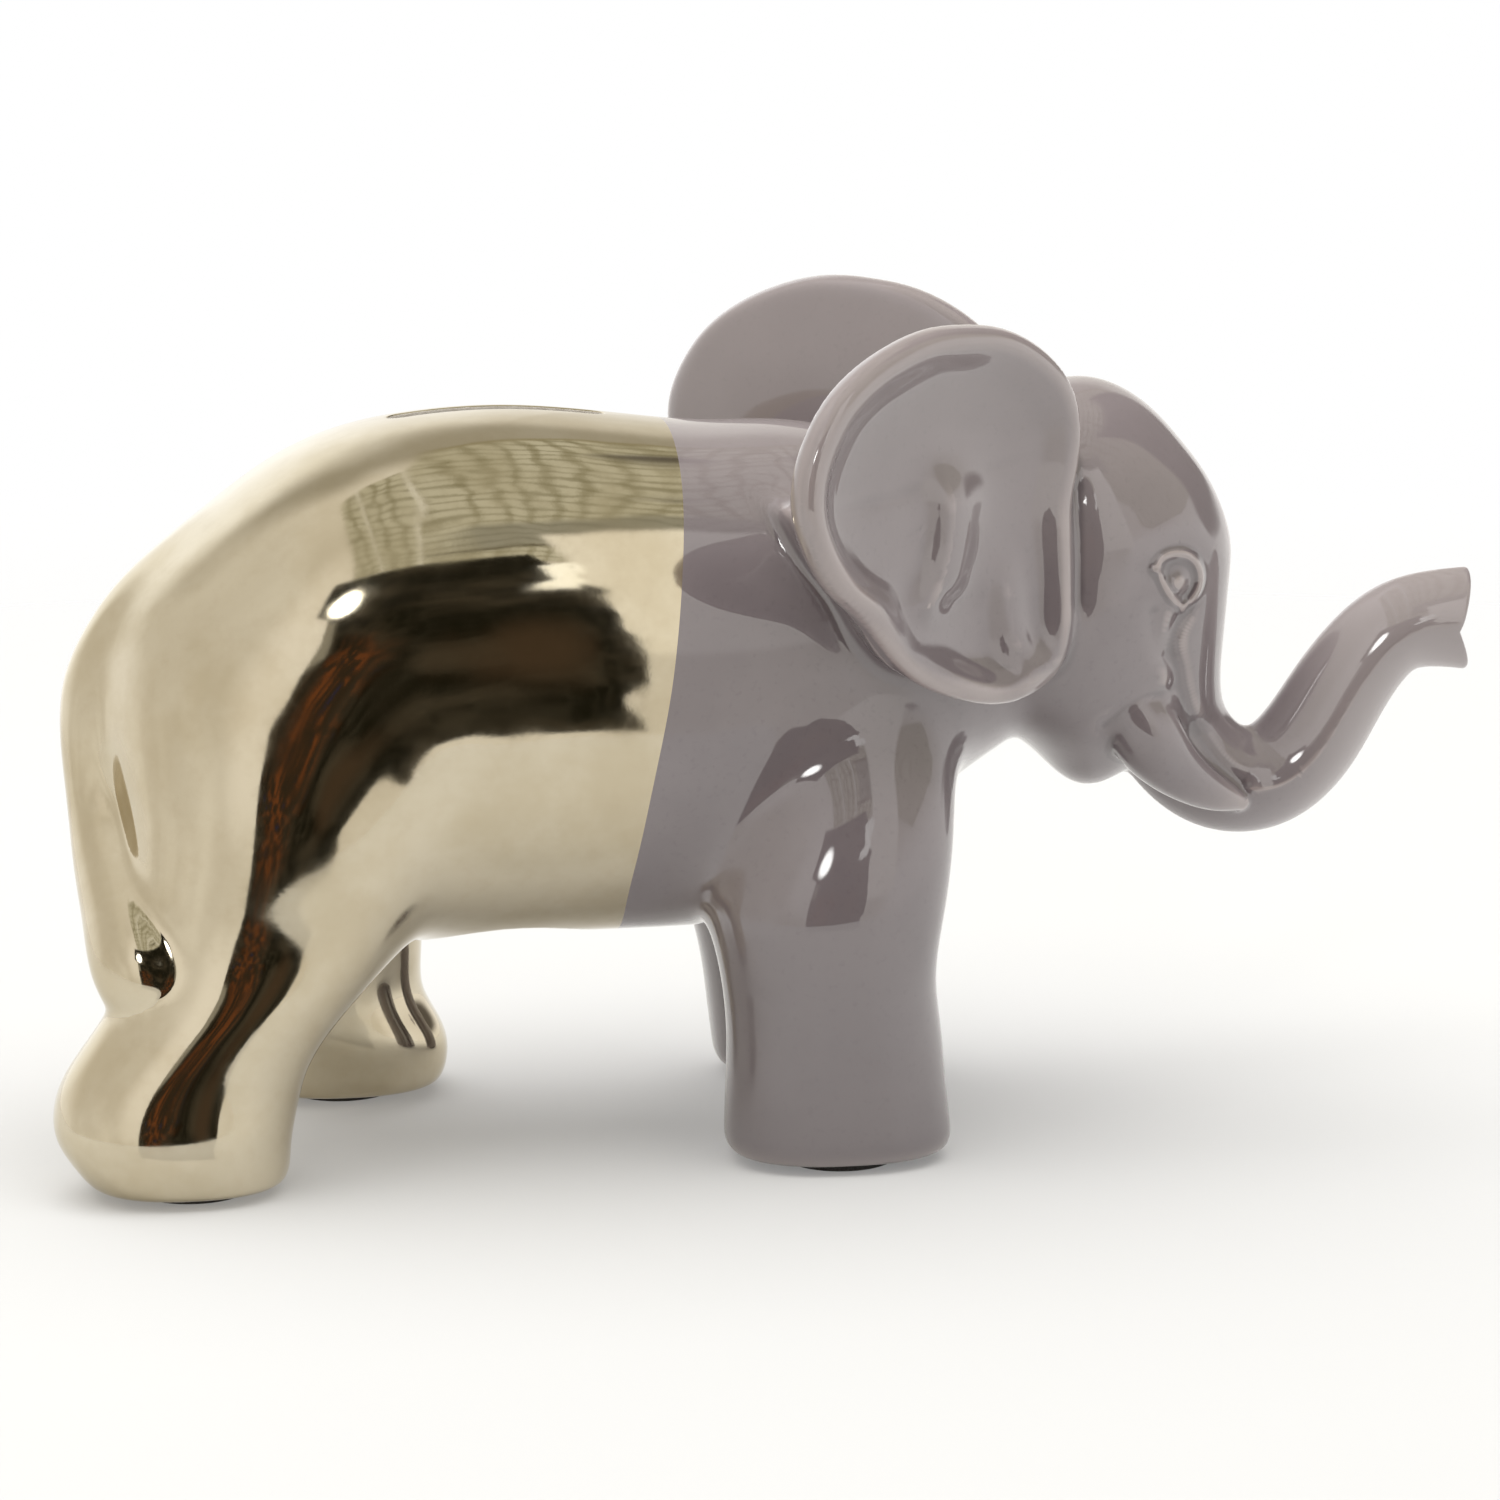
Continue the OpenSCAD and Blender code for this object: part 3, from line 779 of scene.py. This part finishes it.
class Nodes:
    """Short names for building a node tree."""

    def __init__(self, tree):
        self.tree = tree
        tree.nodes.clear()

    def add(self, kind, **props):
        node = self.tree.nodes.new(kind)
        for key, value in props.items():
            setattr(node, key, value)
        return node

    def link(self, a, b):
        self.tree.links.new(a, b)

    def put(self, socket, value):
        if isinstance(value, bpy.types.NodeSocket):
            self.link(value, socket)
        else:
            socket.default_value = value

    def fill(self, sockets, values):
        for key, value in values.items():
            self.put(sockets[key], value)

    def math(self, operation, a, b=0.0):
        node = self.add("ShaderNodeMath", operation=operation)
        self.fill(node.inputs, {0: a, 1: b})
        return node.outputs[0]

    def plus(self, a, b):
        return self.math("ADD", a, b)

    def minus(self, a, b):
        return self.math("SUBTRACT", a, b)

    def times(self, a, b):
        return self.math("MULTIPLY", a, b)

    def remap(self, value, low, high, to_low=0.0, to_high=1.0, smooth=True):
        node = self.add("ShaderNodeMapRange", interpolation_type="SMOOTHSTEP" if smooth else "LINEAR")
        ends = {"From Min": low, "From Max": high, "To Min": to_low, "To Max": to_high}
        self.fill(node.inputs, {"Value": value, **ends})
        return node.outputs[0]

    def mix(self, factor, a, b):
        node = self.add("ShaderNodeMix", data_type="RGBA")
        self.fill(node.inputs, {"Factor": factor, 6: a, 7: b})
        return node.outputs[2]

    def noise(self, vector, scale, detail, rough=0.5):
        node = self.add("ShaderNodeTexNoise")
        self.fill(node.inputs, {"Vector": vector, "Scale": scale, "Detail": detail, "Roughness": rough})
        return node.outputs["Fac"]


def material(name):
    m = bpy.data.materials.new(name)
    m.use_nodes = True
    n = Nodes(m.node_tree)
    out = n.add("ShaderNodeOutputMaterial")
    shader = n.add("ShaderNodeBsdfPrincipled")
    n.link(shader.outputs[0], out.inputs["Surface"])
    place = n.add("ShaderNodeTexCoord").outputs["Object"]
    return m, n, shader.inputs, place


def bump_into(n, inputs, height, strength, distance):
    node = n.add("ShaderNodeBump")
    n.fill(node.inputs, {"Strength": strength, "Distance": distance, "Height": height})
    n.link(node.outputs[0], inputs["Normal"])


def plating_material():
    m, n, s, place = material("plating")
    cloud = n.noise(place, 55, 4, 0.6)
    wear = n.noise(place, 240, 5, 0.65)
    warm = n.mix(n.remap(cloud, 0.35, 0.7), (0.63, 0.565, 0.435, 1), (0.56, 0.49, 0.355, 1))
    n.put(s["Base Color"], n.mix(n.remap(wear, 0.45, 0.8, 0.0, 0.25), warm, (0.50, 0.425, 0.30, 1)))
    s["Metallic"].default_value = 1.0
    worn = n.plus(n.times(cloud, 0.6), n.times(wear, 0.4))
    n.put(s["Roughness"], n.remap(worn, 0.3, 0.75, 0.035, 0.12))
    ripple = n.noise(place, 38, 2, 0.5)
    bump_into(n, s, n.plus(ripple, n.times(wear, 0.02)), 0.35, 0.0009)
    return m


def glaze_material():
    m, n, s, place = material("glaze")
    bend = n.add("ShaderNodeAttribute", attribute_name="bend").outputs["Fac"]
    pool = n.noise(place, 42, 4, 0.6)
    speck = n.noise(place, 900, 2, 0.5)
    base = n.mix(n.remap(pool, 0.3, 0.72), (0.185, 0.153, 0.165, 1), (0.215, 0.18, 0.191, 1))
    base = n.mix(n.remap(speck, 0.55, 0.8, 0.0, 0.35), base, (0.14, 0.115, 0.124, 1))
    # painted light and shade: lighter where the surface bends outwards over an edge (a painted highlight,
    # mixed with random tone), darker in a hollow (painted shade), and darker towards the feet
    # painted highlight: curvature plus random tone lightens the glaze over edges
    edge_highlight_and_tone = n.plus(bend, n.times(n.minus(pool, 0.5), 0.12))
    base = n.mix(n.remap(edge_highlight_and_tone, 0.14, 0.62, 0.0, 0.75), base, (0.46, 0.39, 0.38, 1))
    axes = n.add("ShaderNodeSeparateXYZ")
    n.link(place, axes.inputs[0])
    base = n.mix(n.remap(axes.outputs[2], 0.07, 0.02, 0.0, 0.55), base, (0.12, 0.099, 0.108, 1))
    # painted light: lighter on the trunk and higher up, standing in for the bright reflection and top light
    # there
    trunk_painted_light, high_painted_light = n.remap(axes.outputs[0], 0.08, 0.105), n.remap(axes.outputs[2], 0.08, 0.13, 0.0, 0.45)
    base = n.mix(n.math("MAXIMUM", trunk_painted_light, high_painted_light), base, (0.32, 0.275, 0.28, 1))
    # painted shade: darker where the surface curves inwards, in hollows
    hollow_shade = n.remap(bend, -0.06, -0.55, 0.0, 0.65)
    base = n.mix(hollow_shade, base, (0.11, 0.09, 0.099, 1))
    n.put(s["Base Color"], base)
    n.fill(s, {"Roughness": 0.45, "Specular IOR Level": 0.35})
    n.fill(s, {"Coat Weight": 1.0, "Coat Roughness": 0.03, "Coat IOR": 1.95})
    ripple = n.noise(place, 60, 2, 0.5)
    bump_into(n, s, n.plus(ripple, n.times(speck, 0.015)), 0.25, 0.0006)
    return m


def clay_material():
    m, n, s, place = material("bare_clay")
    grain = n.noise(place, 700, 5, 0.7)
    n.put(s["Base Color"], n.mix(n.remap(grain, 0.3, 0.75), (0.74, 0.70, 0.64, 1), (0.60, 0.55, 0.49, 1)))
    s["Roughness"].default_value = 0.85
    bump_into(n, s, grain, 0.4, 0.0003)
    return m


def rubber_material():
    m, n, s, place = material("soft_rubber")
    cloud = n.noise(place, 160, 4, 0.6)
    n.put(s["Base Color"], n.mix(n.remap(cloud, 0.3, 0.7), (0.66, 0.64, 0.60, 1), (0.58, 0.56, 0.52, 1)))
    n.put(s["Roughness"], n.remap(cloud, 0.3, 0.7, 0.38, 0.55))
    n.fill(s, {"Subsurface Weight": 0.25, "Subsurface Radius": (0.004, 0.003, 0.002)})
    bump_into(n, s, n.noise(place, 1500, 3, 0.6), 0.2, 0.0001)
    return m


def pad_material():
    m, n, s, place = material("pad_foam")
    grain = n.noise(place, 2600, 4, 0.7)
    dark, light = (0.028, 0.026, 0.025, 1), (0.062, 0.058, 0.055, 1)
    n.put(s["Base Color"], n.mix(n.remap(grain, 0.3, 0.7), dark, light))
    s["Roughness"].default_value = 0.9
    bump_into(n, s, grain, 0.6, 0.0002)
    return m


PLATING, GLAZE, CLAY = plating_material(), glaze_material(), clay_material()
RUBBER, PAD = rubber_material(), pad_material()


CAP_RINGS = 5
CAP_BAND = 7.0  # a cap's middle line is averaged over this length, mm
CAP_DEPTH = 0.8  # how deep in the ceramic a cap lies, at least, mm


def open_loops(faces):
    """The closed runs of edges that have a face on one side only."""
    edges = {side for f in faces for side in sides_of(f)}
    onward = {}
    for i, j in edges:
        if (j, i) not in edges:
            onward.setdefault(i, []).append(j)
    loops = []
    while onward:
        loop, at = [], min(onward)
        while at in onward:
            loop.append(at)
            to = onward[at].pop()
            if not onward[at]:
                del onward[at]
            at = to
        loops.append(loop)
    return loops


def cap(loop, verts):
    """Closes a loop with rings that shrink to its middle line, inside the ceramic. Adds to verts."""
    rim = verts[loop]
    offset = rim - rim.mean(0)
    along = offset @ np.linalg.svd(offset, full_matrices=False)[2][0]
    weight = bump(along[:, None] - along[None, :], CAP_BAND)
    centre = weight @ rim / weight.sum(1, keepdims=True)
    rings = [loop]
    out = []
    for k in range(1, CAP_RINGS + 1):
        ring = centre + (rim - centre) * (1 - k / (CAP_RINGS + 0.5))
        for _ in range(5):
            f, g, _ = slope(ring, 0.1)
            shallow = np.maximum(f + CAP_DEPTH, 0)
            ring = ring - (shallow / np.maximum((g * g).sum(1), 0.1))[:, None] * g
        rings.append(list(range(len(verts), len(verts) + len(ring))))
        verts = np.concatenate([verts, ring])
    for outer, inner in zip(rings, rings[1:]):
        for k in range(len(loop)):
            out.append([outer[k], outer[k - 1], inner[k - 1], inner[k]])
    out.append(rings[-1][::-1])
    return verts, out


def lip(outer, inner, verts):
    """The flat edge of the wall at the finish line, between the outer loop and the inner one."""
    middle = verts[outer].mean(0)

    def angles(loop):
        return np.unwrap(np.arctan2(verts[loop][:, 2] - middle[2], verts[loop][:, 1]))

    def turned(loop, forward):
        """The loop from angle zero on, in the wanted direction, and how far round each point is."""
        angle = angles(loop)
        if (angle[-1] > angle[0]) != forward:
            loop, angle = loop[::-1], angle[::-1]
        start = int(np.argmin(np.abs(np.mod(angle + math.pi, 2 * math.pi) - math.pi)))
        loop = loop[start:] + loop[:start] + [loop[start]]
        angle = angles(loop)
        return loop, np.abs(angle - angle[0])

    angle = angles(outer)
    forward = bool(angle[-1] > angle[0])
    a, ta = turned(outer, forward)
    b, tb = turned(inner, forward)
    out, i, j = [], 0, 0
    while i < len(a) - 1 or j < len(b) - 1:
        if j == len(b) - 1 or (i < len(a) - 1 and ta[i + 1] <= tb[j + 1]):
            out.append([a[i + 1], a[i], b[j]])
            i += 1
        else:
            out.append([a[i], b[j], b[j + 1]])
            j += 1
    return out


def shell(name, faces, lining, finish, node):
    """One ceramic piece, closed where it joins its neighbours."""
    used = np.unique(np.concatenate([np.array(f) for f in faces + lining]))
    place = np.full(len(points), -1)
    place[used] = np.arange(len(used))
    place = place.tolist()
    sides = [[place[i] for i in f] for f in faces + lining]
    verts = points[used]
    on_line = np.abs(ahead_of_finish(verts)) < 0.05
    caps, finish_loops = [], []
    for loop in open_loops(sides):
        if on_line[loop].all():
            finish_loops.append(loop)
        elif len(loop) > 2:
            verts, more = cap(loop, verts)
            caps += more
    if finish_loops:
        finish_loops.sort(key=len, reverse=True)
        caps += lip(finish_loops[0], finish_loops[1], verts)
    picks = [0] * len(faces) + [1] * (len(lining) + len(caps))
    obj = make_object(name, verts, sides + caps, [finish, CLAY], picks)
    mesh = obj.data
    mesh.polygons.foreach_set("use_smooth", [True] * len(sides) + [False] * len(caps))
    corners = np.empty(len(mesh.loops), np.int32)
    mesh.loops.foreach_get("vertex_index", corners)
    skin_corners = sum(len(f) for f in sides)
    corner_normals = np.zeros((len(corners), 3))
    corner_normals[:skin_corners] = normals[used][corners[:skin_corners]]
    mesh.normals_split_custom_set(corner_normals.tolist())
    layer = mesh.attributes.new("bend", "FLOAT", "POINT")
    values = np.r_[np.clip(bend[used], -2, 2), np.zeros(len(verts) - len(used))]
    layer.data.foreach_set("value", values.astype(np.float32))
    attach(obj, "bank")
    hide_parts(node)


REGION = [-128, -66, -3], [130, 66, 146]  # the form lies inside this box, mm
BEND_REACH = 0.35  # normals and curvature are taken over this distance, mm

points, quads = skin(*REGION, STEP)
faces = quads.tolist()
for _ in range(2):
    middles = np.array([points[f].mean(0) for f in faces])
    points, faces = refine(points, faces, is_detailed(middles))
points, behind, ahead = divide(points, faces)
rear, front = ownership(points)
points, rear_shares = cleave(points, behind, rear)
points, front_shares = cleave(points, ahead, front)
_, gradient, bend = slope(points, BEND_REACH)
normals = gradient / np.linalg.norm(gradient, axis=1, keepdims=True)
for shares, finish, slot in ((rear_shares, PLATING, "plating"), (front_shares, GLAZE, "glaze")):
    inside = shares.pop("lining")
    for node, share in shares.items():
        shell(slot + "_" + node, share, inside if node.endswith("body") else [], finish, node)


def paint_node(name, m):
    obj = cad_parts[name]
    obj.data.materials.clear()
    obj.data.materials.append(m)


paint_node("stopper", RUBBER)
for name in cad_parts:
    if name.startswith("foot_pad"):
        paint_node(name, PAD)

# ---------------------------------------------------------------- stage, light, camera

FLOOR_EDGE, FLOOR_REACH = -275.0, 2000.0  # the pale sheet ends in front of the camera's view, and far behind


def floor_material():
    m, n, s, place = material("floor")
    n.put(s["Base Color"], n.mix(n.noise(place, 3, 2), (0.76, 0.76, 0.76, 1), (0.74, 0.74, 0.74, 1)))
    n.fill(s, {"Roughness": 0.9, "Specular IOR Level": 0.1})
    away = n.add("ShaderNodeVectorMath", operation="LENGTH")
    n.link(place, away.inputs[0])
    n.put(s["Alpha"], n.remap(away.outputs["Value"], 0.20, 0.90, 0.8, 0.0))
    return m


corners = [
    [-FLOOR_REACH, FLOOR_EDGE, 0], [FLOOR_REACH, FLOOR_EDGE, 0], [FLOOR_REACH, FLOOR_REACH, 0],
    [-FLOOR_REACH, FLOOR_REACH, 0],
]
floor = make_object("floor", corners, [(0, 1, 2, 3)], [floor_material()], shade=False)

AZIMUTH, ELEVATION, DISTANCE = math.radians(10.5), math.radians(10.6), 810.0
SCALE, PHOTO_WIDTH = 5.9, 1500.0  # the photograph's pixels for one mm at the target, and for its width
TARGET = np.array([-3.65, 0.0, 63.6])
back = np.array([
    -math.sin(AZIMUTH) * math.cos(ELEVATION), -math.cos(AZIMUTH) * math.cos(ELEVATION), math.sin(ELEVATION),
])
camera_data = bpy.data.cameras.new("camera")
camera_data.sensor_width = 36.0
camera_data.lens = SCALE * DISTANCE * camera_data.sensor_width / PHOTO_WIDTH
camera = bpy.data.objects.new("camera", camera_data)
bpy.context.scene.collection.objects.link(camera)
camera.location = (TARGET + DISTANCE * back) * MM
camera.rotation_euler = (math.pi / 2 - ELEVATION, 0, -AZIMUTH)
bpy.context.scene.camera = camera
bpy.context.scene.view_settings.view_transform = "Standard"


class Tent:
    """A cloth light tent with an opening where the camera stands. Directions are degrees around and up."""

    def __init__(self, n):
        self.n = n
        self.way = n.add("ShaderNodeTexCoord").outputs["Generated"]
        split = n.add("ShaderNodeSeparateXYZ")
        n.link(self.way, split.inputs[0])
        x, y, self.z = split.outputs
        s, c = math.sin(AZIMUTH), math.cos(AZIMUTH)
        front, side = n.plus(n.times(x, -s), n.times(y, -c)), n.plus(n.times(x, c), n.times(y, -s))
        self.up = n.times(n.math("ARCSINE", self.z), 180 / math.pi)
        self.around = n.times(n.math("ARCTAN2", side, front), 180 / math.pi)
        # places on a flat roof one unit above
        above = n.math("MAXIMUM", self.z, 0.05)
        self.across, self.ahead = n.math("DIVIDE", side, above), n.math("DIVIDE", front, above)

    def within(self, value, low, high, soft):
        n = self.n
        return n.times(n.remap(value, low - soft, low + soft), n.remap(value, high - soft, high + soft, 1, 0))

    def patch(self, a0, a1, e0, e1, soft):
        return self.n.times(self.within(self.around, a0, a1, soft), self.within(self.up, e0, e1, soft))

    def blob(self, a, e, ra, re, soft=0.5):
        n = self.n
        da, de = n.math("DIVIDE", n.minus(self.around, a), ra), n.math("DIVIDE", n.minus(self.up, e), re)
        return n.remap(n.math("SQRT", n.plus(n.times(da, da), n.times(de, de))), 1 - soft, 1 + soft, 1, 0)

    def cloth(self):
        """The tent's walls, unevenly lit."""
        n, up, around = self.n, self.up, self.around
        folds = n.noise(self.way, 2.2, 2)
        sky = n.mix(n.remap(folds, 0.35, 0.65), (0.98, 0.945, 0.87, 1), (0.86, 0.82, 0.74, 1))
        sky = n.mix(n.remap(up, 45, 85), sky, (1.06, 1.03, 0.97, 1))
        behind = n.remap(n.math("ABSOLUTE", around), 95, 130)
        sky = n.mix(n.times(behind, self.within(up, 38, 72, 8)), sky, (0.52, 0.49, 0.42, 1))
        for place, color in (
            ((-78, 32, 34, 22, 0.8), (0.83, 0.79, 0.71, 1)), ((-14, 30, 14, 24, 0.7), (1.12, 1.08, 1.02, 1)),
            ((-130, 4, 30, 14, 0.7), (1.15, 1.13, 1.1, 1)), ((-152, 18, 24, 30, 0.5), (1.35, 1.35, 1.33, 1)),
        ):
            sky = n.mix(self.blob(*place), sky, color)
        low_right = n.times(self.within(around, 48, 170, 10), n.remap(up, 24, 6))
        return n.mix(low_right, sky, (1.15, 1.12, 1.08, 1))

    def roof(self, sky):
        """The ribbed and folded roof towards the camera."""
        n, ahead = self.n, self.ahead
        fold = n.minus(self.across, n.times(ahead, 0.28))
        far_side = n.plus(ahead, n.times(self.across, 0.97))
        wave = n.noise(self.way, 6.0, 3)
        rib = n.math("SINE", n.plus(n.times(fold, 95.0), n.times(wave, 9.0)))
        arc = n.math("SINE", n.plus(n.times(ahead, 70.0), n.times(wave, 16.0)))
        roof = n.mix(n.remap(rib, 0.1, 1.0, 0, 0.75), (0.72, 0.70, 0.58, 1), (0.34, 0.31, 0.20, 1))
        roof = n.mix(n.remap(arc, 0.35, 1.0, 0, 0.6), roof, (0.27, 0.245, 0.15, 1))
        roof = n.mix(n.remap(far_side, -0.50, -0.56), roof, (0.40, 0.36, 0.24, 1))
        hem = n.mix(n.remap(arc, 0.2, 1.0, 0, 0.5), (0.42, 0.41, 0.35, 1), (0.24, 0.23, 0.18, 1))
        roof = n.mix(self.patch(17, 60, 46, 58, 2.0), roof, hem)
        roof = n.mix(self.patch(15, 40, 45.6, 46.6, 0.5), roof, (0.18, 0.16, 0.11, 1))
        seams = [n.math("ABSOLUTE", n.plus(fold, place)) for place in (0.24, 0.035)]
        roof = n.mix(n.remap(n.math("MINIMUM", *seams), 0.004, 0.012, 1, 0), roof, (1.0, 0.99, 0.93, 1))
        slant = n.times(n.math("MAXIMUM", ahead, 0.0), 0.19)
        corner = n.minus(slant, n.remap(ahead, -0.25, 0.05, 0.08, 0.33))
        on_roof = self.within(n.minus(self.across, corner), 0.0, 3.0, 0.015)
        on_roof = n.times(on_roof, self.within(ahead, -3.0, 1.13, 0.02))
        on_roof = n.times(on_roof, n.remap(far_side, -0.60, -0.56))
        on_roof = n.times(on_roof, n.math("GREATER_THAN", self.z, 0.1))
        return n.mix(on_roof, sky, roof)

    def screens(self, sky):
        """A bright strip beside the opening, and a dark screen far to the right whose edge leans back."""
        n = self.n
        sky = n.mix(self.patch(29, 54, 3, 51, 1.5), sky, (1.2, 1.16, 1.08, 1))
        lifted = n.math("MAXIMUM", n.minus(self.up, 10.0), 0.0)
        start = n.minus(113.0, n.times(n.times(lifted, lifted), 0.0143))
        dark = n.times(n.remap(n.minus(self.around, start), -2, 3), n.remap(self.around, 150, 156, 1, 0))
        return n.mix(n.times(dark, self.within(self.up, 5, 64, 4)), sky, (0.15, 0.135, 0.12, 1))

    def opening(self, sky):
        """The dark room seen through the opening, with a lamp and a window at its edges."""
        n, up, around = self.n, self.up, self.around
        streak = n.noise(self.way, 7.0, 4, 0.62)
        hair = n.math("SINE", n.plus(n.times(around, 2.6), n.times(streak, 26.0)))
        room = n.mix(n.remap(streak, 0.40, 0.68), (0.012, 0.011, 0.006, 1), (0.075, 0.062, 0.043, 1))
        room = n.mix(n.remap(hair, 0.5, 1.0, 0, 0.5), room, (0.05, 0.045, 0.032, 1))
        flecks = n.noise(self.way, 30.0, 3, 0.6)
        rust = n.mix(n.remap(flecks, 0.5, 0.58), (0.04, 0.028, 0.016, 1), (0.19, 0.065, 0.022, 1))
        rust = n.mix(n.remap(flecks, 0.36, 0.3), rust, (0.03, 0.035, 0.10, 1))
        room = n.mix(self.blob(3, 8, 8, 8, 0.5), room, rust)
        room = n.mix(self.blob(2, -5, 7, 5, 0.5), room, rust)
        room = n.mix(self.blob(22, 5, 4, 9, 0.6), room, (0.075, 0.05, 0.03, 1))
        room = n.mix(self.patch(-8, -4.5, 15, 24, 0.8), room, (0.34, 0.32, 0.27, 1))
        wobble = n.times(n.minus(n.noise(self.way, 4.5, 1), 0.5), 13.0)
        edge = n.plus(n.plus(around, n.remap(up, 25, 29, 0, 5.5)), n.times(wobble, n.remap(around, 15, 25)))
        sky = n.mix(n.times(self.within(edge, -8, 32, 0.3), self.within(up, -15, 41.7, 0.5)), sky, room)
        sky = n.mix(self.blob(-4.5, 31.5, 4.6, 4.6, 0.35), sky, (9.0, 9.0, 8.8, 1))
        lean = n.minus(around, n.times(n.minus(up, 31), 0.35))
        ragged = n.times(n.minus(n.noise(self.way, 13.0, 1), 0.5), 9.0)
        window = self.within(n.plus(lean, ragged), 23.5, 29.5, 0.6)
        window = n.times(window, self.within(n.minus(up, ragged), 26, 36, 1.0))
        return n.mix(window, sky, (1.7, 1.7, 1.65, 1))


DIFFUSE_SHARE = 0.66  # how strongly the tent lights the matt surfaces, next to its reflections


def studio_world():
    """The tent is what the surfaces reflect. Behind the object the picture is plain white."""
    world = bpy.data.worlds.new("studio")
    bpy.context.scene.world = world
    world.use_nodes = True
    n = Nodes(world.node_tree)
    out = n.add("ShaderNodeOutputWorld")
    tent = Tent(n)
    glossy = n.add("ShaderNodeBackground")
    n.link(tent.opening(tent.screens(tent.roof(tent.cloth()))), glossy.inputs["Color"])
    seen = n.add("ShaderNodeBackground")
    seen.inputs["Color"].default_value = (1, 1, 1, 1)
    path = n.add("ShaderNodeLightPath")
    strength = n.remap(path.outputs["Is Diffuse Ray"], 0.0, 1.0, 1.0, DIFFUSE_SHARE, smooth=False)
    n.put(glossy.inputs["Strength"], strength)
    choose = n.add("ShaderNodeMixShader")
    n.link(path.outputs["Is Camera Ray"], choose.inputs[0])
    n.link(glossy.outputs[0], choose.inputs[1])
    n.link(seen.outputs[0], choose.inputs[2])
    n.link(choose.outputs[0], out.inputs["Surface"])


studio_world()


light = bpy.data.lights.new("overhead", "AREA")
light.shape = "RECTANGLE"
light.size, light.size_y = 2.2, 1.8
light.energy = 27.0
overhead = bpy.data.objects.new("overhead", light)
bpy.context.scene.collection.objects.link(overhead)
overhead.location = (0.0, 0.1, 1.3)
overhead.visible_glossy = False
aim = Vector((0.0, -0.1, -1.24))  # at the animal's middle height
overhead.rotation_euler = aim.to_track_quat("-Z", "Y").to_euler()
